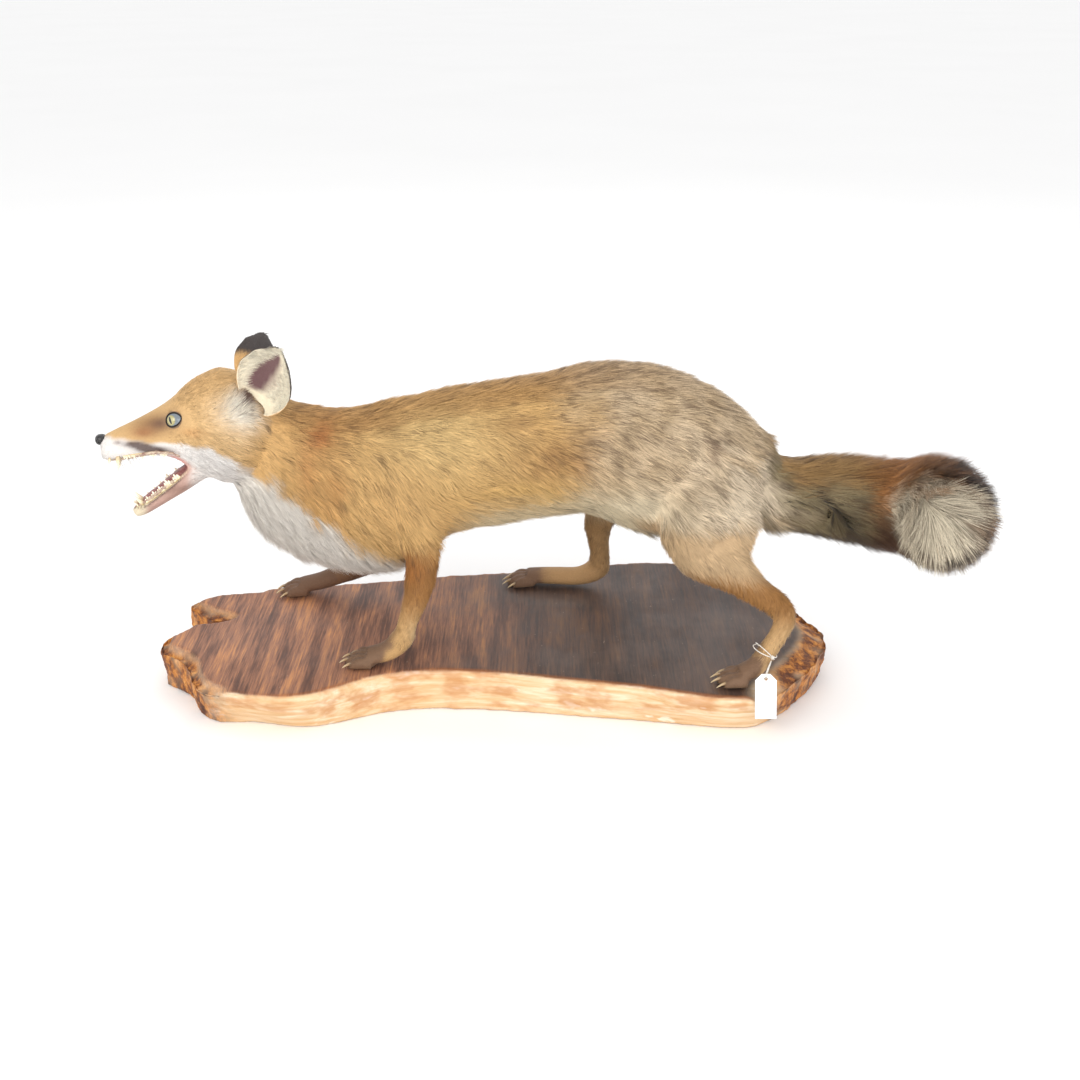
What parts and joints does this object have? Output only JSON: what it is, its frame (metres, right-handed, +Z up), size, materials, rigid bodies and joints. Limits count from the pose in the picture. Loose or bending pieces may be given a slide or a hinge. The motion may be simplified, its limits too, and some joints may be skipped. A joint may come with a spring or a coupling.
{
  "type": "taxidermy fox",
  "caption": "Life-size mounted red fox in a snarling stalk on a live-edge timber slab, jaws open, brush held out behind, blank card label tied at one hind ankle.",
  "frame": {"origin": "middle of the slab's flat underside", "axes": "+X from the fox's nose towards its tail, +Y towards the fox's right side, +Z up"},
  "size_m": [0.8535, 0.3243, 0.3618],
  "materials": {
    "fur_coat": "dense red fox fur: orange-tan back, white throat, dark feet, cream tail end",
    "eye_glass": "painted glass eye, pale yellow-green iris with an upright slit",
    "nose_leather": "black, pebbled, semi-gloss",
    "tongue_flesh": "modelled tongue and mouth lining, satin pink-brown",
    "tooth_enamel": "cream teeth, satin",
    "claw_horn": "pale horn claws, satin",
    "slab_timber": "varnished dark heart with red-orange streaks, pale sapwood edge",
    "tag_paper": "blank white card",
    "string_cotton": "twisted white cotton thread"
  },
  "bodies": {
    "root": {"head": "fur_coat", "lower_jaw": "fur_coat", "neck": "fur_coat", "trunk": "fur_coat", "tail_root": "fur_coat", "tail_middle": "fur_coat", "tail_tip": "fur_coat", "ear_left": "fur_coat", "ear_right": "fur_coat", "fore_leg_left": "fur_coat", "fore_paw_left": "fur_coat", "fore_leg_right": "fur_coat", "fore_paw_right": "fur_coat", "hind_leg_left": "fur_coat", "hind_paw_left": "fur_coat", "hind_leg_right": "fur_coat", "hind_paw_right": "fur_coat", "eye_left": "eye_glass", "eye_right": "eye_glass", "nose": "nose_leather", "tongue": "tongue_flesh", "base_slab": "slab_timber", "tag_card": "tag_paper", "tag_loop": "string_cotton", "tag_string": "string_cotton"}
  },
  "joints": []
}
